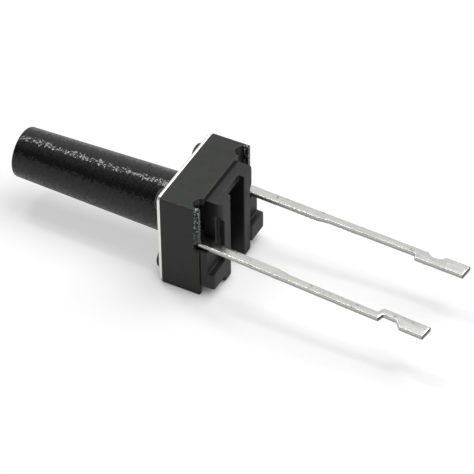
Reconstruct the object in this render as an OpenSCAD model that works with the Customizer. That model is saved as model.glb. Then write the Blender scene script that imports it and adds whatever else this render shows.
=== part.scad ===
// Tactile push button switch with a long round stem, lying on its side.
// +X runs from the button to the tips of the leads, +Y across the two leads, +Z up.
// Inside the file X = 0 is the back of the cover plate and the stem's axis is the X axis.

/* [Body] */
// Width and height of the square body
body_size = 6.1; // [5.9:0.1:6.4]
// Thickness of the steel cover plate
cover_t = 0.2; // [0.15:0.05:0.4]
// Corner radius of the cover plate
cover_corner_r = 0.3; // [0.1:0.05:0.5]
// Depth of the front moulding behind the cover plate
housing_depth = 2.1; // [1.9:0.05:2.5]
// Wall around the square pocket in the back of the front moulding
wall_t = 0.45; // [0.4:0.01:0.48]
// Depth of the round contact chamber behind the cover plate
chamber_depth = 1.1; // [1.05:0.05:1.2]
// Diameter of the round contact chamber
chamber_d = 4.6; // [4.2:0.05:4.7]
// How far the feet stand out behind the front moulding
seat_rise = 1.1; // [1:0.02:1.2]

/* [Stakes] */
// Distance of each stake from the stem's axis, along Y and along Z
stake_offset = 2.1; // [2.05:0.05:2.2]
// Diameter of a stake's shank
stake_d = 0.9; // [0.8:0.05:0.95]
// Diameter of a stake's melted head
stake_head_d = 1.25; // [1.1:0.05:1.4]
// Height of a stake's head above the cover plate
stake_head_h = 0.4; // [0.3:0.05:0.5]
// Rounding of the rim of a stake's head
stake_head_r = 0.2; // [0.1:0.02:0.28]

/* [Button] */
// Length of the stem in front of the cover plate
stem_length = 10.2; // [4:0.1:14]
// Diameter of the stem at the cover plate
stem_d = 3.5; // [3.3:0.05:3.6]
// Diameter of the stem at its tip
tip_d = 2.94; // [2.6:0.02:3.3]
// Rounding of the edge of the tip
tip_r = 0.1; // [0.05:0.05:0.4]
// How far the button travels
travel = 0.25; // [0.15:0.01:0.27]

/* [Leads] */
// Thickness of the terminal sheet
lead_t = 0.27; // [0.2:0.01:0.28]
// Width of a lead where it leaves the body
lead_root_w = 0.62; // [0.55:0.01:0.66]
// Width of a lead from its narrowing to its flared tip
lead_end_w = 0.51; // [0.45:0.01:0.54]
// Distance between the centre lines of the leads at the body
lead_pitch = 5; // [4.95:0.01:5.1]
// Length of the leads behind the seat on the board
lead_length = 12.25; // [8:0.25:14]
// Fall of the leads toward their tips, in degrees
lead_droop = 3.8; // [0:0.1:4.5]
// Outward lean of each lead, in degrees
lead_splay = 0.8; // [0:0.05:1.5]

/* [Hidden] */
$fn = 48;

// fits
pocket_clearance = 0.02;
stake_clearance = 0.02;
stem_clearance = 0.1;
slide_clearance = 0.02;
eps = 0.02;

// body
half = body_size / 2;
nose_rise = 0.22;
nose_depth = housing_depth + nose_rise;
pocket_half = half - wall_t;
plug_half = pocket_half - pocket_clearance;
edge_r = 0.06;
relief_r = 0.38;
relief_in = 0.63;

// back of the base, as depths behind the cover plate
seat_depth = housing_depth + seat_rise;
lip_depth = seat_depth - 0.48;
rib_depth = seat_depth - 0.1;
shelf_depth = seat_depth - 0.42;
channel_depth = housing_depth - 0.1;
recess_depth = housing_depth - 0.3;
slot_depth = housing_depth - 0.4;
root_cover = housing_depth - 0.15;

// back of the base, as distances in from a side face
shelf_in = 0.1;
ledge_in = 0.52;
block_in = 1.22;
rib_in = 1.55;
rib_w = 0.7;
channel_in = rib_in + rib_w;

// back of the base, as heights above the underside
block_bottom = 0.08;
block_top = body_size - 0.25;
foot_bottom = 0.65;
foot_top = 1.68;
shelf_top = 3.2;
root_top = 3.65;
recess_bottom = 2.25;
recess_top = 4.75;
head_bottom = 4.95;
gusset_drop = 0.5;
lip_bottom = 5.35;
foot_r = 0.15;
head_r = 0.25;

// button
flange_d = chamber_d - 0.3;
flange_t = 0.35;
nub_d = 1.2;
dome_d = chamber_d - 0.4;
dome_t = 0.08;
dome_gap = 0.02;
contact_rise = 0.1;
dome_rise = contact_rise + travel;
dome_top = chamber_depth - dome_rise - dome_t;
dome_r = (dome_d * dome_d / 4 + dome_rise * dome_rise) / (2 * dome_rise);
nub_end = dome_top - dome_gap;

// terminals
fold_r = 0.35;
fold_steps = 10;
lead_top = 0.5;
arm_cover = 0.2;
contact_w = 0.66;
contact_d = 1.2;
boss_d = 0.9;
ring_w = 0.5;
ring_outer_d = chamber_d - 0.1;
ring_inner_d = ring_outer_d - 2 * ring_w;
arm_margin = 0.08;
ring_gap = 1.3;
root_in = 0.89;
root_end = housing_depth + 0.02;
root_y = half - root_in;
lead_start = housing_depth - 0.03;
notch_start = lead_start - 0.05;
notch_bottom = shelf_top - 0.05;
jog = lead_pitch / 2 - root_y;
blank_length = seat_depth + lead_length - lead_start;

// narrowing of a lead, as lengths from its start
narrow_start = 4.7;
narrow_end = 5.4;

// flared tip, as lengths back from the end and offsets from the lead's outer edge
pad_w = 0.9;
end_skew = 0.12;
neck_cut = 0.4;
notch_cut = 0.33;
angular_shift = 0;
curved_shift = -0.1;
step_back = 2.83;
step_run = 0.18;
curved_back = 2.93;
curved_run = 0.1;
neck_back = 2.45;
neck_run = 0.12;
neck_length = 0.74;
neck_flare = 0.36;
notch_back = 1.86;
notch_r = 0.62;
notch_steps = 9;
step_x = blank_length - step_back;
curved_x = blank_length - curved_back;
neck_x = blank_length - neck_back;
notch_x = blank_length - notch_back;
notch_y = curved_shift + notch_cut - notch_r;
notch_from = 180 + asin(notch_y / notch_r);
notch_to = asin((curved_shift - notch_y) / notch_r);

// depth of the furthest corner of a tip behind the cover plate
lead_end_x = lead_start + (blank_length + end_skew) * cos(lead_splay)
  + (angular_shift + pad_w) * sin(lead_splay);

// The switch lies with the middle of its length at X = 0 and its underside at Z = 0.
module place() {
  translate([(cover_t + stem_length - lead_end_x) / 2, 0, half]) children();
}

// Draws a Y-Z outline and thickens it along +X from x0 to x1.
module along_x(x0, x1) {
  translate([x0, 0, 0]) rotate([90, 0, 90]) linear_extrude(x1 - x0) children();
}

// Turns an X-radius profile about the X axis.
module about_x() {
  rotate([0, 90, 0]) rotate_extrude() children();
}

// A box from x0 to x1. The distances in are from the near side face, the heights from the underside.
module block(x0, x1, in0, in1, low, high) {
  translate([x0, in0 - half, low - half]) cube([x1 - x0, in1 - in0, high - low]);
}

// Draws its child on the near side and mirrored on the far side.
module both_sides() {
  children();
  mirror([0, 1, 0]) children();
}

module at_stakes() {
  for (y = [-stake_offset, stake_offset], z = [-stake_offset, stake_offset]) translate([0, y, z]) children();
}

// Square with rounded corners, centred.
module rounded_square(size, r) {
  square([size, size - 2 * r], center = true);
  square([size - 2 * r, size], center = true);
  for (y = [-1, 1], z = [-1, 1]) translate([y * (size / 2 - r), z * (size / 2 - r)]) circle(r);
}

// ---- steel cover plate ----
module cover_plate() {
  color("#c9c9c4") place() along_x(-cover_t, 0) difference() {
    rounded_square(body_size, cover_corner_r);
    circle(d = stem_d + 2 * stem_clearance);
    for (y = [-stake_offset, stake_offset], z = [-stake_offset, stake_offset])
      translate([y, z]) circle(d = stake_d + 2 * stake_clearance);
  }
}

// ---- front moulding, with its four melted stakes ----
module stake() {
  along_x(-cover_t - eps, eps) circle(d = stake_d);
  top_x = -cover_t - stake_head_h;
  rim_r = stake_head_d / 2 - stake_head_r;
  about_x() polygon(concat(
    [[0, -cover_t], [0, top_x]],
    [for (a = [0:15:90]) [rim_r + stake_head_r * sin(a), top_x + stake_head_r * (1 - cos(a))]],
    [[stake_head_d / 2, -cover_t]]
  ));
}

module housing() {
  color("#2c2e2c") place() {
    difference() {
      union() {
        along_x(0, housing_depth) rounded_square(body_size, edge_r);
        both_sides() intersection() {
          block(0, nose_depth, 0, wall_t, 0, body_size);
          along_x(0, nose_depth) rounded_square(body_size, edge_r);
        }
      }
      along_x(-eps, chamber_depth + eps) circle(d = chamber_d);
      along_x(chamber_depth, nose_depth + eps) square(2 * pocket_half, center = true);
      both_sides() {
        translate([housing_depth, relief_in - half, -half - eps])
          cylinder(r = relief_r, h = body_size + 2 * eps);
        block(notch_start, nose_depth + eps, -eps, wall_t + eps, notch_bottom, root_top);
      }
    }
    at_stakes() stake();
  }
}

// ---- back moulding ----
// Part that fills the pocket in the back of the front moulding.
module base_plug() {
  along_x(chamber_depth, housing_depth + eps) square(2 * plug_half, center = true);
}

// Middle block behind the front moulding. Its top makes a lip between the heads of the ribs.
module middle_block() {
  block(housing_depth, lip_depth, block_in, body_size - block_in, block_bottom, block_top);
}

// Upright rib with a wider head. The head has a rounded outer corner and a sloped underside.
module rib() {
  outer = block_in - half;
  start = rib_in - half;
  inner = start + rib_w;
  high = block_top - half;
  low = head_bottom - half;
  toe = low - gusset_drop;
  block(housing_depth, rib_depth, rib_in, rib_in + rib_w, block_bottom, block_top);
  intersection() {
    along_x(housing_depth, rib_depth)
      polygon([[outer, high], [inner, high], [inner, toe], [start, toe], [outer, low]]);
    translate([0, 0, -half]) linear_extrude(body_size) union() {
      translate([0, outer]) square([rib_depth - head_r, inner - outer]);
      translate([0, outer + head_r]) square([rib_depth, inner - outer - head_r]);
      translate([rib_depth - head_r, outer + head_r]) circle(head_r);
    }
  }
}

// Shelf under the lead, and the foot that stands on the board.
module shelf_and_foot() {
  block(nose_depth, shelf_depth, shelf_in, rib_in, foot_bottom, shelf_top);
  block(housing_depth, shelf_depth, ledge_in, rib_in, foot_bottom, shelf_top);
  block(nose_depth, seat_depth - foot_r, shelf_in, rib_in, foot_bottom, foot_top);
  block(nose_depth, seat_depth, shelf_in + foot_r, rib_in, foot_bottom, foot_top);
  translate([seat_depth - foot_r, shelf_in + foot_r - half, foot_bottom - half])
    cylinder(r = foot_r, h = foot_top - foot_bottom);
}

// Slot beside the middle block, deeper above the root of the lead.
module side_slot() {
  block(root_cover, seat_depth, 0, block_in, shelf_top, body_size);
  block(slot_depth, seat_depth, 0, block_in, root_top, body_size);
}

// Channel between the ribs, open at the underside, with a rectangular recess in its floor.
module channel() {
  block(channel_depth, rib_depth, channel_in, body_size - channel_in, 0, lip_bottom);
  block(recess_depth, rib_depth, channel_in, body_size - channel_in, recess_bottom, recess_top);
}

module base() {
  color("#2c2e2c") place() difference() {
    union() {
      base_plug();
      middle_block();
      both_sides() shelf_and_foot();
      both_sides() rib();
    }
    both_sides() side_slot();
    channel();
    centre_terminal_solid();
    outer_terminal_solid();
  }
}

// ---- button ----
module plunger() {
  tip_x = -cover_t - stem_length;
  color("#262726") place() about_x() union() {
    polygon(concat(
      [[0, tip_x], [tip_d / 2 - tip_r, tip_x]],
      [for (a = [15:15:90]) [tip_d / 2 - tip_r + tip_r * sin(a), tip_x + tip_r * (1 - cos(a))]],
      [[stem_d / 2, -cover_t], [stem_d / 2, slide_clearance + eps], [0, slide_clearance + eps]]
    ));
    translate([0, slide_clearance]) square([flange_d / 2, flange_t]);
    translate([0, slide_clearance]) square([nub_d / 2, nub_end - slide_clearance]);
  }
}

// ---- snap dome ----
module snap_dome() {
  color("#cfcfca") place() intersection() {
    translate([dome_top + dome_t + dome_r - dome_t, 0, 0]) difference() {
      sphere(dome_r);
      sphere(dome_r - dome_t);
    }
    along_x(dome_top - eps, chamber_depth) circle(d = dome_d);
  }
}

// ---- terminals, each drawn on the near side ----
// Height of the fold's centre, which brings the top of the lead to lead_top at its start.
function fold_z(floor_x) =
  lead_top - fold_r / cos(lead_droop) + (lead_start - floor_x - fold_r) * tan(lead_droop);

// Side view of a terminal: up the back of the flat contact, round the fold and down the sloping lead.
module side_profile(floor_x) {
  reach = lead_start + blank_length;
  function turned(i) = 180 - (90 + lead_droop) * i / fold_steps;
  function arc(r) = [for (i = [0:fold_steps]) r * [cos(turned(i)), sin(turned(i))]];
  function far(r) = r * [sin(lead_droop), cos(lead_droop)] + reach * [cos(lead_droop), -sin(lead_droop)];
  outer = arc(fold_r);
  inner = arc(fold_r - lead_t);
  rotate([90, 0, 0]) linear_extrude(2 * body_size, center = true)
    translate([floor_x + fold_r, fold_z(floor_x)]) polygon(concat(
      [[-fold_r, -eps]],
      outer,
      [far(fold_r), far(fold_r - lead_t)],
      [for (i = [fold_steps:-1:0]) inner[i]],
      [[lead_t - fold_r, -eps]]
    ));
}

// A point of a lead, from its length along the lead and its distance in from the outer edge.
function swung(p) = [
  lead_start + p[0] * cos(lead_splay) + p[1] * sin(lead_splay),
  p[1] * cos(lead_splay) - p[0] * sin(lead_splay) - jog - lead_root_w / 2
];

// Tip with a sloped jog and a square neck, from the outer edge round to the inner edge.
angular_tip = [
  [neck_x - neck_run, 0],
  [neck_x, angular_shift + neck_cut],
  [neck_x + neck_length, angular_shift + neck_cut],
  [neck_x + neck_length + neck_flare, angular_shift],
  [blank_length, angular_shift],
  [blank_length + end_skew, angular_shift + pad_w],
  [step_x + step_run, angular_shift + pad_w],
  [step_x, lead_end_w],
];

// Tip with a round notch and a steep step, from the outer edge round to the inner edge.
curved_tip = concat(
  [for (i = [0:notch_steps])
    let (a = notch_from + (notch_to - notch_from) * i / notch_steps)
      [notch_x + notch_r * cos(a), notch_y + notch_r * sin(a)]],
  [
    [blank_length + end_skew, curved_shift],
    [blank_length, curved_shift + pad_w],
    [curved_x + curved_run, curved_shift + pad_w],
    [curved_x, lead_end_w],
  ]
);

// Fold, root and lead: the part of the side profile that lies inside the outline seen from above.
module bent_strip(tip, floor_x) {
  intersection() {
    translate([0, -root_y, -half]) linear_extrude(body_size) polygon(concat(
      [[0, contact_w / 2], [0, -contact_w / 2], [lead_start, -contact_w / 2], swung([0, 0])],
      [for (p = tip) swung(p)],
      [swung([narrow_end, lead_end_w]), swung([narrow_start, lead_root_w])],
      [swung([root_end - lead_start, lead_root_w]), [root_end, contact_w / 2]]
    ));
    side_profile(floor_x);
  }
}

// Flat arm of the contact, from the fold toward the middle.
module contact_arm(reach, floor_x) {
  translate([floor_x, -root_y - contact_w / 2, -contact_w / 2])
    cube([lead_t, reach, contact_w / 2 + fold_z(floor_x)]);
}

// Its arm lies deep enough to pass under the rim of the dome, and its contact is raised.
module centre_terminal_solid() {
  floor_x = chamber_depth + arm_cover;
  bent_strip(angular_tip, floor_x);
  contact_arm(root_y + contact_w / 2, floor_x);
  along_x(floor_x, floor_x + lead_t) circle(d = contact_d);
  along_x(chamber_depth - contact_rise, floor_x + eps) circle(d = boss_d);
}

// Its open ring lies flush with the floor of the chamber, under the rim of the dome.
module outer_terminal_solid() {
  mirror([0, 1, 0]) {
    bent_strip(curved_tip, chamber_depth);
    contact_arm(root_y + contact_w / 2 - ring_inner_d / 2 - arm_margin, chamber_depth);
  }
  along_x(chamber_depth, chamber_depth + lead_t) difference() {
    circle(d = ring_outer_d);
    circle(d = ring_inner_d);
    translate([-half, -ring_gap / 2]) square([half, ring_gap]);
  }
}

module centre_terminal() {
  color("#b9bab4") place() centre_terminal_solid();
}

module outer_terminal() {
  color("#b9bab4") place() outer_terminal_solid();
}

cover_plate();
housing();
base();
plunger();
snap_dome();
centre_terminal();
outer_terminal();
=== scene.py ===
import math

import bpy
import numpy as np
import openvdb
from mathutils import Matrix, Vector


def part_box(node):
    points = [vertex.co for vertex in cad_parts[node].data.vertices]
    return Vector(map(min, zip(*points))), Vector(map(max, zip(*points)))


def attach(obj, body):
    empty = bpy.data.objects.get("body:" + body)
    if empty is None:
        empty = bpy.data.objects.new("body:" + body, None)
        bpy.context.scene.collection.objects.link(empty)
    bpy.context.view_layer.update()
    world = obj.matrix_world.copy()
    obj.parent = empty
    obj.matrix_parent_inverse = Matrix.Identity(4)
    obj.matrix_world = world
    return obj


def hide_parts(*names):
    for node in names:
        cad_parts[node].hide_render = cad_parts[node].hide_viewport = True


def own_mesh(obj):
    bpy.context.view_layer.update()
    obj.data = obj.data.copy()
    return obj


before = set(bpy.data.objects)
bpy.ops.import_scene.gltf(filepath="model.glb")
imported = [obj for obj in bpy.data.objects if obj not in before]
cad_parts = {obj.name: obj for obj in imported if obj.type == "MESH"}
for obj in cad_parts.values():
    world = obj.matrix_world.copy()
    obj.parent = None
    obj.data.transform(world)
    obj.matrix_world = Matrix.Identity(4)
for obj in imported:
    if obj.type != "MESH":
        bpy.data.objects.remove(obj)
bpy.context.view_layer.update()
scene = bpy.context.scene
mm = 0.001
print("frame loaded:", ", ".join(sorted(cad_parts)))


# Puts arrays of points and faces into a mesh at once.
# Each face's loops start where those of the faces before it end.
def makeSurface(name, points, faceArrays, normals=None):
    faceArrays = [f for f in faceArrays if len(f)]
    sizes = np.concatenate([np.full(len(f), f.shape[1], np.int32) for f in faceArrays])
    corners = np.concatenate([f.ravel() for f in faceArrays]).astype(np.int32)
    mesh = bpy.data.meshes.new(name)
    mesh.vertices.add(len(points))
    mesh.vertices.foreach_set("co", points.astype(np.float32).ravel())
    mesh.loops.add(len(corners))
    mesh.loops.foreach_set("vertex_index", corners)
    mesh.polygons.add(len(sizes))
    mesh.polygons.foreach_set("loop_start", np.cumsum(sizes, dtype=np.int32) - sizes)
    mesh.polygons.foreach_set("use_smooth", np.ones(len(sizes), bool))
    mesh.update(calc_edges=True)
    if normals is not None:
        mesh.normals_split_custom_set_from_vertices(normals.tolist())
    piece = bpy.data.objects.new(name, mesh)
    scene.collection.objects.link(piece)
    return piece


# A point's normal is the sum of its faces' cross products, so a wide flat face outweighs a narrow one.
def pointNormals(points, faceArrays):
    total = np.zeros_like(points)
    for faces in faceArrays:
        if not len(faces):
            continue
        across = points[faces[:, 2]] - points[faces[:, 0]]
        along = points[faces[:, -1]] - points[faces[:, 1]]
        if faces.shape[1] == 3:
            along = across
            across = points[faces[:, 1]] - points[faces[:, 0]]
        cross = np.cross(across, along)
        for corner in range(faces.shape[1]):
            np.add.at(total, faces[:, corner], cross)
    return total / np.maximum(np.linalg.norm(total, axis=1, keepdims=True), 1e-12)


# Each normal becomes the mean of the mean normals of the faces round it.
def evenedNormals(normals, faceArrays):
    total = np.zeros_like(normals)
    for faces in faceArrays:
        if not len(faces):
            continue
        mean = normals[faces].mean(axis=1)
        for corner in range(faces.shape[1]):
            np.add.at(total, faces[:, corner], mean)
    return total / np.maximum(np.linalg.norm(total, axis=1, keepdims=True), 1e-12)


# Points in millimetres and triangles of a CAD node.
def nodeArrays(name):
    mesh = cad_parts[name].data
    mesh.calc_loop_triangles()
    points = np.empty(len(mesh.vertices) * 3, np.float32)
    mesh.vertices.foreach_get("co", points)
    triangles = np.empty(len(mesh.loop_triangles) * 3, np.int32)
    mesh.loop_triangles.foreach_get("vertices", triangles)
    return points.reshape(-1, 3).astype(np.float64) / mm, triangles.reshape(-1, 3).astype(np.uint32)


# Distance from the surface on a grid of cells, negative inside.
def distanceGrid(points, faces, cell, reach):
    kind = "quads" if faces.shape[1] == 4 else "triangles"
    return openvdb.FloatGrid.createLevelSetFromPolygons(
        points.astype(np.float32), **{kind: faces.astype(np.uint32)},
        transform=openvdb.createLinearTransform(voxelSize=cell), halfWidth=reach / cell + 3)


# Rounds a CAD node as a mould does. The surface moves inwards by the edge radius and out again,
# which rounds every outer edge, and then outwards and back by the crease radius, which fills the corners.
def roundedNode(name, node, look):
    cell, edge, crease = look["cell"], look["edge"], look["crease"]
    points, faces = nodeArrays(node)
    points, faces = distanceGrid(points, faces, cell, edge).convertToQuads(-edge)
    points, faces = distanceGrid(points, faces, cell, edge + crease).convertToQuads(edge + crease)
    grid = distanceGrid(points, faces, cell, crease)
    points, triangles, quads = grid.convertToPolygons(-crease, look["thinning"])
    points = points.astype(np.float64)
    faceArrays = [triangles[:, ::-1].astype(np.int64), quads[:, ::-1].astype(np.int64)]
    normals = pointNormals(points, faceArrays)
    for _ in range(look.get("evening", 1)):
        normals = evenedNormals(normals, faceArrays)
    piece = makeSurface(name, points * mm, faceArrays, normals)
    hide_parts(node)
    print(name, "rounded:", len(triangles) + 2 * len(quads), "triangles")
    return piece


# A profile of (x, radius) turned about the line y = 0, z = height.
# y and z are the radius times the cosine and the sine of the angle.
def turnedSurface(name, profile, height, turns):
    angles = np.linspace(0, 2 * math.pi, turns, endpoint=False)
    x = np.repeat(profile[:, :1], turns, axis=1)
    y = profile[:, 1:] * np.cos(angles)
    z = profile[:, 1:] * np.sin(angles) + height
    points = np.stack([x, y, z], axis=2).reshape(-1, 3)
    row, col = np.meshgrid(np.arange(len(profile) - 1), np.arange(turns), indexing="ij")
    here, there = row * turns, (row + 1) * turns
    after = (col + 1) % turns
    quads = np.stack([here + col, here + after, there + after, there + col], axis=2)
    ends = np.stack([np.arange(turns)[::-1], (len(profile) - 1) * turns + np.arange(turns)])
    return makeSurface(name, points * mm, [quads.reshape(-1, 4), ends])


# Quarter arc of (x, radius) points, from one angle to another about a centre.
def arcPoints(centre, radius, fromDegrees, toDegrees, steps=10):
    angle = np.radians(np.linspace(fromDegrees, toDegrees, steps))
    return np.stack([centre[0] + radius * np.cos(angle), centre[1] + radius * np.sin(angle)], axis=1)


def newMaterial(name):
    material = bpy.data.materials.new(name)
    material.use_nodes = True
    tree = material.node_tree
    return material, tree, tree.nodes["Principled BSDF"]


# Adds a node, sets its fixed inputs and joins its linked ones.
def addNode(tree, kind, inputs=None, **settings):
    node = tree.nodes.new(kind)
    for key, value in settings.items():
        setattr(node, key, value)
    for key, value in (inputs or {}).items():
        if isinstance(value, bpy.types.NodeSocket):
            tree.links.new(value, node.inputs[key])
        else:
            node.inputs[key].default_value = value
    return node


def addMath(tree, operation, first, second=0.0, clamp=False):
    node = addNode(tree, "ShaderNodeMath", {0: first, 1: second}, operation=operation, use_clamp=clamp)
    return node.outputs[0]


def addMix(tree, share, first, second):
    return addNode(tree, "ShaderNodeMix", {0: share, 6: first, 7: second}, data_type="RGBA").outputs[2]


# Goes from nought to one as the value goes from start to stop.
def addRamp(tree, value, start, stop, shape="SMOOTHSTEP"):
    inputs = {0: value, 1: start, 2: stop, 3: 0.0, 4: 1.0}
    return addNode(tree, "ShaderNodeMapRange", inputs, interpolation_type=shape).outputs[0]


# Vector arithmetic. A dot product and a length come out at "Value".
def addVector(tree, operation, inputs, output=0):
    return addNode(tree, "ShaderNodeVectorMath", inputs, operation=operation).outputs[output]


def addNoise(tree, vector, scale, detail, roughness=0.5):
    inputs = {"Vector": vector, "Scale": scale, "Detail": detail, "Roughness": roughness}
    return addNode(tree, "ShaderNodeTexNoise", inputs).outputs["Fac"]


def startGroup(name, inputs, outputs):
    tree = bpy.data.node_groups.new(name, "ShaderNodeTree")
    for label, kind, value in inputs:
        socket = tree.interface.new_socket(label, in_out="INPUT", socket_type=kind)
        if value is not None:
            socket.default_value = value
    for label, kind in outputs:
        tree.interface.new_socket(label, in_out="OUTPUT", socket_type=kind)
    return tree, tree.nodes.new("NodeGroupInput"), tree.nodes.new("NodeGroupOutput")


def placeGroup(tree, group, inputs):
    node = tree.nodes.new("ShaderNodeGroup")
    node.node_tree = group
    for key, value in inputs.items():
        if isinstance(value, bpy.types.NodeSocket):
            tree.links.new(value, node.inputs[key])
        else:
            node.inputs[key].default_value = value
    return node


# Fine grain of two sizes, as a height and a cloud, and specks where a third noise peaks.
# The cloud's and the specks' cells are shares of the grain's.
def grainGroup():
    wideShare, speckShare, speckLevel, speckRise = 0.11, 0.45, 0.66, 12.0
    tree, given, result = startGroup(
        "moulded grain",
        [("Vector", "NodeSocketVector", None), ("Cells per metre", "NodeSocketFloat", 9000.0),
         ("Specks", "NodeSocketFloat", 0.1)],
        [("Height", "NodeSocketFloat"), ("Speck", "NodeSocketFloat"), ("Cloud", "NodeSocketFloat")])
    place, cells, specks = given.outputs[0], given.outputs[1], given.outputs[2]
    fine = addNoise(tree, place, cells, 3.0, 0.6)
    wide = addNoise(tree, place, addMath(tree, "MULTIPLY", cells, wideShare), 4.0, 0.55)
    speck = addNoise(tree, place, addMath(tree, "MULTIPLY", cells, speckShare), 1.0)
    peak = addMath(tree, "SUBTRACT", speck, speckLevel)
    peak = addMath(tree, "MULTIPLY", peak, speckRise, clamp=True)
    peak = addMath(tree, "MULTIPLY", peak, specks)
    tree.links.new(fine, result.inputs["Height"])
    tree.links.new(peak, result.inputs["Speck"])
    tree.links.new(wide, result.inputs["Cloud"])
    return tree


# One where the surface turns between two of the part's square directions, as on a rounded edge: it is
# one minus the largest part of the normal, widened and cut to the range from nought to one.
def cornerGroup():
    tree, given, result = startGroup(
        "rounded corner", [("Normal", "NodeSocketVector", None), ("Width", "NodeSocketFloat", 4.0)],
        [("Mask", "NodeSocketFloat")])
    size = addVector(tree, "ABSOLUTE", {0: given.outputs["Normal"]})
    parts = addNode(tree, "ShaderNodeSeparateXYZ", {0: size}).outputs
    largest = addMath(tree, "MAXIMUM", parts[1], parts[2])
    largest = addMath(tree, "MAXIMUM", parts[0], largest)
    mask = addMath(tree, "SUBTRACT", 1.0, largest)
    mask = addMath(tree, "MULTIPLY", mask, given.outputs["Width"], clamp=True)
    tree.links.new(mask, result.inputs["Mask"])
    return tree


# Masks for ragged chips, where noise passes a level inside a band along the rear corners. The pale chips are
# partly chips and partly painted highlights, and the band carries painted shade. The band runs in from the
# rear and the two sides by a width that wanders, and fades in between two heights above the underside.
def chipGroup():
    wanderCells, wanderLeast, chipSteepness = 2500.0, 0.5, 9.0
    labels = ("Rear", "Side", "Width", "From", "To", "Cells per metre", "Level")
    tree, given, result = startGroup(
        "ragged chips",
        [("Vector", "NodeSocketVector", None)] + [(label, "NodeSocketFloat", 0.0) for label in labels],
        [("Chip", "NodeSocketFloat"), ("Band", "NodeSocketFloat")])
    put = given.outputs
    place = addNode(tree, "ShaderNodeSeparateXYZ", {0: put["Vector"]}).outputs
    wander = addNoise(tree, put["Vector"], wanderCells, 3.0)
    reach = addMath(tree, "MULTIPLY", put["Width"], addMath(tree, "ADD", wander, wanderLeast))
    fromRear = addMath(tree, "SUBTRACT", put["Rear"], place[0])
    fromSide = addMath(tree, "SUBTRACT", put["Side"], addMath(tree, "ABSOLUTE", place[1]))
    nearRear = addMath(tree, "LESS_THAN", fromRear, reach)
    nearSide = addMath(tree, "LESS_THAN", fromSide, reach)
    rise = addRamp(tree, place[2], put["From"], put["To"], "LINEAR")
    band = addMath(tree, "MULTIPLY", addMath(tree, "MULTIPLY", nearRear, nearSide), rise)
    grains = addNoise(tree, put["Vector"], put["Cells per metre"], 2.0, 0.6)
    above = addMath(tree, "SUBTRACT", grains, put["Level"])
    chip = addMath(tree, "MULTIPLY", addMath(tree, "MULTIPLY", above, chipSteepness, clamp=True), band)
    tree.links.new(chip, result.inputs["Chip"])
    tree.links.new(band, result.inputs["Band"])
    return tree


# Small facets: each cell of a Voronoi pattern tips the normal by its own random amount.
def facetGroup():
    tree, given, result = startGroup(
        "small facets",
        [("Vector", "NodeSocketVector", None), ("Normal", "NodeSocketVector", None),
         ("Cells per metre", "NodeSocketFloat", 9000.0), ("Tilt", "NodeSocketFloat", 0.2)],
        [("Normal", "NodeSocketVector")])
    put = given.outputs
    cells = addNode(tree, "ShaderNodeTexVoronoi", {"Vector": put["Vector"], "Scale": put["Cells per metre"]})
    random = addVector(tree, "SUBTRACT", {0: cells.outputs["Color"], 1: (0.5, 0.5, 0.5)})
    tip = addVector(tree, "SCALE", {0: random, "Scale": put["Tilt"]})
    turned = addVector(tree, "ADD", {0: put["Normal"], 1: tip})
    tree.links.new(addVector(tree, "NORMALIZE", {0: turned}), result.inputs["Normal"])
    return tree


grain = grainGroup()
corner = cornerGroup()
chips = chipGroup()
facets = facetGroup()


# Black moulded plastic: near black with cloudy tone, paler specks, rounded corners painted paler, partly as
# wear and partly as a painted highlight, and a grained skin.
# It is rougher where it is seen edge on. A look may add ragged chips, partly painted highlights, in a band
# of painted shade, and facets that sparkle.
def blackPlastic(name, look):
    grazePower = 3.0
    material, tree, shader = newMaterial(name)
    place = addNode(tree, "ShaderNodeTexCoord").outputs["Object"]
    normal = addNode(tree, "ShaderNodeNewGeometry").outputs["Normal"]
    skin = placeGroup(tree, grain, {
        "Vector": place, "Cells per metre": look["cells"], "Specks": look["specks"]}).outputs
    # Rounded corners are painted paler, partly as wear and partly as a painted highlight.
    wearAndHighlight = placeGroup(tree, corner, {"Normal": normal, "Width": look["wearAndHighlightWidth"]}).outputs["Mask"]
    tone = addMix(tree, skin["Cloud"], look["dark"], look["light"])
    wearAndHighlightShare = addMath(tree, "MULTIPLY", wearAndHighlight, addMath(tree, "MULTIPLY", skin["Height"], look["wearAndHighlight"]))
    tone = addMix(tree, addMath(tree, "ADD", wearAndHighlightShare, skin["Speck"], clamp=True), tone, look["chip"])
    height = skin["Height"]
    if "chipRear" in look:
        ragged = placeGroup(tree, chips, {
            "Vector": place, "Rear": look["chipRear"], "Side": look["chipSide"], "Width": look["chipWidth"],
            "From": look["chipFrom"], "To": look["chipTo"],
            "Cells per metre": look["chipCells"], "Level": look["chipLevel"]}).outputs
        # Painted shade darkens the band along the rear corners, and its pale chips are partly chips and
        # partly painted highlights.
        tone = addMix(tree, ragged["Band"], tone, look["chipBandShade"])
        tone = addMix(tree, ragged["Chip"], tone, look["chipPaleHighlight"])
        height = addMath(tree, "ADD", height, addMath(tree, "MULTIPLY", ragged["Chip"], look["chipRise"]))
    tree.links.new(tone, shader.inputs["Base Color"])
    rough = addMath(tree, "MULTIPLY", skin["Cloud"], look["roughSpread"])
    graze = addNode(tree, "ShaderNodeLayerWeight", {"Blend": 0.5}).outputs["Facing"]
    graze = addMath(tree, "MULTIPLY", addMath(tree, "POWER", graze, grazePower), look["grazeRough"])
    rough = addMath(tree, "ADD", addMath(tree, "ADD", rough, look["rough"]), graze)
    tree.links.new(rough, shader.inputs["Roughness"])
    bump = addNode(tree, "ShaderNodeBump", {
        "Height": height, "Strength": look["bump"], "Distance": look["depth"]})
    if "facetTilt" in look:
        sparkle = placeGroup(tree, facets, {
            "Vector": place, "Normal": normal,
            "Cells per metre": look["facetCells"], "Tilt": look["facetTilt"]})
        tree.links.new(sparkle.outputs["Normal"], bump.inputs["Normal"])
    tree.links.new(bump.outputs["Normal"], shader.inputs["Normal"])
    shader.inputs["Specular IOR Level"].default_value = look["gloss"]
    return material
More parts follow.
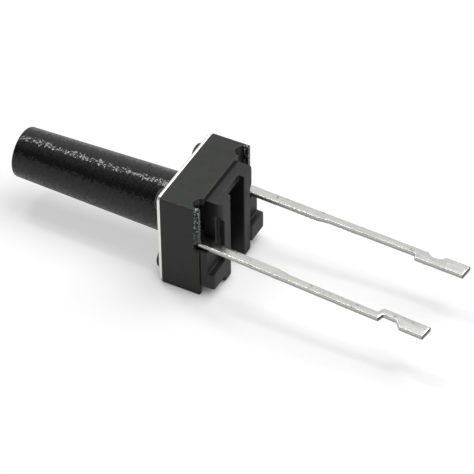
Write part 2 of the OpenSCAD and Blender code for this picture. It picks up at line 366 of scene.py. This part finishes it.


# Plated sheet metal: bright faces with drawn streaks and small dark pits, and rougher cut sides whose tone
# is partly their own and partly painted light, a painted highlight on the cover plate and painted shade on
# the terminals.
# The corners between the two are painted bright as a highlight, and the ends that face one way are dark.
def platedSheet(name, look):
    cornerAt, cornerReach, cornerFull, endFrom, endFull = 0.6, 0.35, 0.25, 0.15, 0.45
    material, tree, shader = newMaterial(name)
    place = addNode(tree, "ShaderNodeTexCoord").outputs["Object"]
    normal = addNode(tree, "ShaderNodeNewGeometry").outputs["Normal"]
    stretched = addNode(tree, "ShaderNodeMapping", {"Vector": place, "Scale": look["streaks"]})
    skin = placeGroup(tree, grain, {
        "Vector": place, "Cells per metre": look["cells"], "Specks": look["pits"]}).outputs
    drawn = placeGroup(tree, grain, {
        "Vector": stretched.outputs[0], "Cells per metre": look["cells"], "Specks": 0.0}).outputs
    facing = addVector(tree, "DOT_PRODUCT", {0: normal, 1: look["flat"]}, "Value")
    bothWays = addMath(tree, "MULTIPLY", addMath(tree, "ABSOLUTE", facing), look["cutWidth"], clamp=True)
    cutSidePaintedLight = addMath(tree, "SUBTRACT", 1.0, bothWays)
    ending = addVector(tree, "DOT_PRODUCT", {0: normal, 1: look["endWay"]}, "Value")
    ending = addRamp(tree, ending, endFrom, endFull)
    fromCorner = addMath(tree, "ABSOLUTE", addMath(tree, "SUBTRACT", facing, cornerAt))
    edge = addRamp(tree, fromCorner, cornerReach, cornerFull)
    tone = addMix(tree, drawn["Height"], look["dark"], look["light"])
    # The cut sides take a tone that is partly their own and partly painted light: paler as a painted
    # highlight on the cover plate, darker as painted shade on the terminals.
    tone = addMix(tree, addMath(tree, "MULTIPLY", cutSidePaintedLight, look["cutSidePaintedLightShare"]), tone, look["cutSidePaintedLight"])
    # The corners between the faces and the cut sides are painted bright as a highlight.
    tone = addMix(tree, edge, tone, look["cornerHighlightTone"])
    tone = addMix(tree, ending, tone, look["ending"])
    tone = addMix(tree, skin["Speck"], tone, look["pit"])
    tree.links.new(tone, shader.inputs["Base Color"])
    shader.inputs["Metallic"].default_value = 1.0
    rough = addMath(tree, "MULTIPLY", skin["Cloud"], look["roughSpread"])
    rough = addMath(tree, "ADD", rough, addMath(tree, "MULTIPLY", cutSidePaintedLight, look["cutRough"]))
    rough = addMath(tree, "ADD", rough, addMath(tree, "MULTIPLY", edge, look["edgeRough"]))
    tree.links.new(addMath(tree, "ADD", rough, look["rough"]), shader.inputs["Roughness"])
    height = addMath(tree, "ADD", drawn["Height"], skin["Cloud"])
    height = addMath(tree, "MULTIPLY", height, addMath(tree, "SUBTRACT", 1.0, edge))
    bump = addNode(tree, "ShaderNodeBump", {
        "Height": height, "Strength": look["bump"], "Distance": look["depth"]})
    tree.links.new(bump.outputs["Normal"], shader.inputs["Normal"])
    return material


frontLook = {
    "cell": 0.02, "edge": 0.03, "crease": 0.02, "thinning": 0.003,
    "cells": 16000.0, "specks": 0.1, "wearAndHighlightWidth": 3.0, "wearAndHighlight": 0.35,
    # The chip tone colours the pale specks and the rounded corners; on the corners it is partly wear and
    # partly a painted highlight.
    "dark": (0.026, 0.028, 0.025, 1), "light": (0.041, 0.043, 0.04, 1), "chip": (0.16, 0.165, 0.17, 1),
    "rough": 0.26, "roughSpread": 0.14, "bump": 0.3, "depth": 0.01 * mm, "gloss": 0.17, "grazeRough": 0.5,
}
# The back moulding is a darker copy of the same plastic: its tone is partly its own and partly painted shade
# for its recessed channel and pockets.
backLook = dict(
    frontLook, rough=0.36, gloss=0.3,
    dark=(0.008, 0.0088, 0.008, 1), light=(0.014, 0.015, 0.0138, 1))
stemLook = dict(
    frontLook, cells=6000.0, specks=0.0, wearAndHighlight=0.0, bump=0.5,
    rough=0.1, roughSpread=0.06, gloss=0.31, facetCells=11500.0, facetTilt=0.2,
    dark=(0.0055, 0.006, 0.0058, 1), light=(0.009, 0.0095, 0.0092, 1), turns=192, sideStep=0.1)
coverLook = {
    "cell": 0.03, "edge": 0.045, "crease": 0.0, "thinning": 0.004,
    "cells": 9000.0, "streaks": (1.0, 0.06, 1.0), "pits": 0.1, "flat": (1.0, 0.0, 0.0),
    "dark": (0.62, 0.62, 0.6, 1), "light": (0.76, 0.76, 0.74, 1), "pit": (0.3, 0.29, 0.28, 1),
    "cutSidePaintedLight": (0.88, 0.88, 0.85, 1), "cutWidth": 1.4, "cutSidePaintedLightShare": 0.6, "cutRough": 0.15,
    "cornerHighlightTone": (0.9, 0.9, 0.87, 1), "edgeRough": 0.1,
    "endWay": (0.0, 0.0, 0.0), "ending": (0.1, 0.1, 0.1, 1),
    "rough": 0.14, "roughSpread": 0.12, "bump": 0.2, "depth": 0.004 * mm,
}
leadLook = dict(
    coverLook, cell=0.018, edge=0.065, streaks=(0.05, 1.0, 1.0), pits=0.8, flat=(0.0663, 0.0, 0.9978),
    dark=(0.42, 0.425, 0.4, 1), light=(0.7, 0.705, 0.675, 1), evening=4,
    cutSidePaintedLight=(0.27, 0.27, 0.25, 1), cutSidePaintedLightShare=0.9,
    endWay=(1.0, 0.0, 0.0), ending=(0.12, 0.12, 0.115, 1))
domeLook = dict(coverLook, pits=0.0, bump=0.1, travel=0.25 * mm)

# The two mouldings. The front one has pale ragged chips along its rear corners, partly chips and partly
# painted highlights, in a band of painted shade.
housingLow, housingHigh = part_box("housing")
frontLook = dict(
    frontLook, chipRear=housingHigh.x, chipSide=housingHigh.y,
    chipWidth=0.28 * mm, chipFrom=3.2 * mm, chipTo=5.2 * mm,
    chipCells=11000.0, chipLevel=0.5, chipRise=3.0,
    chipBandShade=(0.008, 0.0085, 0.009, 1), chipPaleHighlight=(0.5, 0.51, 0.52, 1))
frontMoulding = roundedNode("frontMoulding", "housing", frontLook)
frontMoulding.data.materials.append(blackPlastic("front moulding plastic", frontLook))
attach(frontMoulding, "switch")

backMoulding = roundedNode("backMoulding", "base", backLook)
backMoulding.data.materials.append(blackPlastic("back moulding plastic", backLook))
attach(backMoulding, "switch")

# The cover plate and the two terminals.
coverPlate = roundedNode("coverPlate", "cover_plate", coverLook)
coverPlate.data.materials.append(platedSheet("cover plate steel", coverLook))
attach(coverPlate, "switch")

leadMetal = platedSheet("terminal plating", leadLook)
for name, node in (("nearTerminal", "centre_terminal"), ("farTerminal", "outer_terminal")):
    terminal = roundedNode(name, node, leadLook)
    terminal.data.materials.append(leadMetal)
    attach(terminal, "switch")

# The button, turned from its profile: tip, tapered stem, flange and nub.
stemLow, stemHigh = (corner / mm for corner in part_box("plunger"))
coverLow, coverHigh = (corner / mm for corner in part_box("cover_plate"))
button = {
    "tipRadius": 1.47, "tipRounding": 0.1, "rootRadius": 1.75, "flangeRadius": stemHigh.y,
    "flangeStart": coverHigh.x + 0.02, "flangeEnd": coverHigh.x + 0.37,
    "nubRadius": 0.6, "edge": 0.05, "height": (stemLow.z + stemHigh.z) / 2,
}


# The profile from the tip to the nub. A step of nearly nothing keeps a sharp corner sharp, and the
# two flat ends close on small rings.
def stemProfile(b, step):
    nearly, tipRing, nubRing, rimSteps = 0.001, 0.4, 0.2, 4
    rounding, edge, root, nub = b["tipRounding"], b["edge"], b["rootRadius"], b["nubRadius"]
    tip = arcPoints((stemLow.x + rounding, b["tipRadius"] - rounding), rounding, 180, 90)
    sideX = np.arange(tip[-1, 0] + step, coverLow.x, step)
    share = (sideX - tip[-1, 0]) / (coverLow.x - tip[-1, 0])
    side = np.stack([sideX, b["tipRadius"] + (root - b["tipRadius"]) * share], axis=1)
    start = b["flangeStart"]
    collar = np.array([[coverLow.x, root], [start - nearly, root], [start, root + nearly]])
    rim = arcPoints((start + edge, b["flangeRadius"] - edge), edge, 180, 90, rimSteps)
    back = arcPoints((b["flangeEnd"] - edge, b["flangeRadius"] - edge), edge, 90, 0, rimSteps)
    neck = np.array([[b["flangeEnd"], nub + nearly], [b["flangeEnd"] + nearly, nub]])
    end = arcPoints((stemHigh.x - edge, nub - edge), edge, 90, 0, rimSteps)
    first, last = np.array([[stemLow.x, tipRing]]), np.array([[stemHigh.x, nubRing]])
    return np.concatenate([first, tip, side, collar, rim, back, neck, end, last])


stemOutline = stemProfile(button, stemLook["sideStep"])
stem = turnedSurface("button", stemOutline, button["height"], stemLook["turns"])
stem.data.materials.append(blackPlastic("button plastic", stemLook))
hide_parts("plunger")
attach(stem, "button")
print("button turned")

# The dome, made from the triangles of its CAD node.
domePoints, domeFaces = nodeArrays("snap_dome")
dome = makeSurface("snapDome", domePoints * mm, [domeFaces])
dome.data.materials.append(platedSheet("dome steel", domeLook))
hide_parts("snap_dome")
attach(dome, "switch")
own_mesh(dome)

# Floor, room and lamps. Together they bring the open floor just to white.
studio = {
    "floorColor": (0.5, 0.5, 0.5, 1), "floorLift": 0.5, "floorSize": 3.0,
    "contact": 1.0 * mm, "contactOpen": 0.95, "contactSamples": 8, "fadeFrom": 0.06, "fadeTo": 0.25,
    "roomPlain": 0.36, "roomDark": 0.08, "roomLight": 1.25,
    "roomFacing": (-0.1, 0.75, 0.65), "roomFrom": -0.1, "bandTop": 0.5, "bandFull": 0.2,
    "keyLevel": 3.6, "keyPlace": (0.09, 0.096, 0.273), "keyAim": (-0.002, 0.0, 0.003),
    "keySize": (0.22, 0.22),
    "sparkLevel": 15.0, "sparkPlace": (-0.115, 0.062, 0.252), "sparkAim": (-0.006, 0.0, 0.003),
    "sparkSize": (0.09, 0.03),
}


# One for a ray that the camera, a glossy surface or a clear one looks along.
def seenDirectly(tree):
    path = addNode(tree, "ShaderNodeLightPath")
    seen = addMath(tree, "MAXIMUM", path.outputs["Is Camera Ray"], path.outputs["Is Glossy Ray"])
    return addMath(tree, "MAXIMUM", seen, path.outputs["Is Transmission Ray"])


# A matt floor that keeps its shadow near the object and turns to plain white further out. The light that it
# gives of its own fades to nothing where something stands close over it, which paints a contact shadow
# there.
def paleFloor(look):
    half = look["floorSize"] / 2
    corners = np.array([[-half, -half, 0], [half, -half, 0], [half, half, 0], [-half, half, 0]])
    floor = makeSurface("floor", corners, [np.array([[0, 1, 2, 3]])])
    material, tree, shader = newMaterial("pale floor")
    tree.nodes.clear()
    seen = seenDirectly(tree)
    place = addNode(tree, "ShaderNodeTexCoord").outputs["Object"]
    outwards = addVector(tree, "LENGTH", {0: place}, "Value")
    outer = addRamp(tree, outwards, look["fadeFrom"], look["fadeTo"])
    matt = addNode(tree, "ShaderNodeBsdfDiffuse", {"Color": look["floorColor"]})
    # Ambient occlusion takes the floor's own light away close under the object, as a painted contact shadow.
    clear = addNode(
        tree, "ShaderNodeAmbientOcclusion", {"Distance": look["contact"]}, samples=look["contactSamples"])
    clear = addRamp(tree, clear.outputs["AO"], 0.0, look["contactOpen"])
    strength = addMath(tree, "MULTIPLY", clear, addMath(tree, "MULTIPLY", seen, look["floorLift"]))
    lift = addNode(tree, "ShaderNodeEmission", {"Strength": strength})
    near = addNode(tree, "ShaderNodeAddShader", {0: matt.outputs[0], 1: lift.outputs[0]})
    white = addNode(tree, "ShaderNodeEmission", {"Strength": 1.0})
    both = addNode(tree, "ShaderNodeMixShader", {
        0: addMath(tree, "MULTIPLY", outer, seen), 1: near.outputs[0], 2: white.outputs[0]})
    addNode(tree, "ShaderNodeOutputMaterial", {"Surface": both.outputs[0]})
    floor.data.materials.append(material)


# The room lights evenly. Looked at directly it is brighter on one side, and white in a band above the
# floor.
def softRoom(look):
    world = bpy.data.worlds.new("soft room")
    scene.world = world
    world.use_nodes = True
    tree = world.node_tree
    tree.nodes.clear()
    direction = addNode(tree, "ShaderNodeTexCoord").outputs["Generated"]
    facing = addVector(tree, "DOT_PRODUCT", {0: direction, 1: look["roomFacing"]}, "Value")
    share = addRamp(tree, facing, look["roomFrom"], 1.0)
    strength = addMath(tree, "MULTIPLY", share, look["roomLight"] - look["roomDark"])
    strength = addMath(tree, "ADD", strength, look["roomDark"])
    height = addNode(tree, "ShaderNodeSeparateXYZ", {0: direction}).outputs[2]
    band = addRamp(tree, height, look["bandTop"], look["bandFull"])
    room = addNode(tree, "ShaderNodeBackground", {"Strength": strength})
    white = addNode(tree, "ShaderNodeBackground", {"Strength": 1.0})
    sight = addNode(tree, "ShaderNodeMixShader", {0: band, 1: room.outputs[0], 2: white.outputs[0]})
    plain = addNode(tree, "ShaderNodeBackground", {"Strength": look["roomPlain"]})
    mixed = addNode(tree, "ShaderNodeMixShader", {
        0: seenDirectly(tree), 1: plain.outputs[0], 2: sight.outputs[0]})
    addNode(tree, "ShaderNodeOutputWorld", {"Surface": mixed.outputs[0]})


# A flat lamp turned to its aim. Its level is its brightness, so its watts are the level times four times
# its area.
def flatLamp(name, look):
    lamp = bpy.data.lights.new(name, "AREA")
    lamp.shape = "RECTANGLE"
    lamp.size, lamp.size_y = look[name + "Size"]
    lamp.energy = look[name + "Level"] * 4 * lamp.size * lamp.size_y
    holder = bpy.data.objects.new(name, lamp)
    scene.collection.objects.link(holder)
    holder.location = look[name + "Place"]
    away = (Vector(look[name + "Place"]) - Vector(look[name + "Aim"])).normalized()
    side = (Vector((1, 0, 0)) - away * away.x).normalized()
    holder.rotation_euler = Matrix((side, away.cross(side), away)).transposed().to_euler()


paleFloor(studio)
softRoom(studio)
flatLamp("key", studio)
flatLamp("spark", studio)
print("studio built")

# The camera's own directions, as columns: right, up and back.
view = {
    "place": (0.047485, -0.088986, 0.094212), "azimuth": 27.86, "elevation": 42.46, "roll": -0.57,
    "imageSize": 474, "focal": 2500, "sensor": 36.0,
}


def makeCamera(v):
    azimuth, elevation, roll = (math.radians(v[k]) for k in ("azimuth", "elevation", "roll"))
    outwards = math.cos(elevation)
    back = Vector((math.sin(azimuth) * outwards, -math.cos(azimuth) * outwards, math.sin(elevation)))
    level = Vector((math.cos(azimuth), math.sin(azimuth), 0))
    upright = back.cross(level)
    right = level * math.cos(roll) + upright * math.sin(roll)
    lens = bpy.data.cameras.new("camera")
    lens.sensor_width = v["sensor"]
    lens.lens = v["focal"] / v["imageSize"] * v["sensor"]
    lens.clip_start = 0.005
    lens.clip_end = 10
    camera = bpy.data.objects.new("camera", lens)
    scene.collection.objects.link(camera)
    turn = Matrix((right, back.cross(right), back)).transposed().to_4x4()
    camera.matrix_world = Matrix.Translation(v["place"]) @ turn
    scene.camera = camera


makeCamera(view)
scene.view_settings.view_transform = "Standard"
print("camera placed")
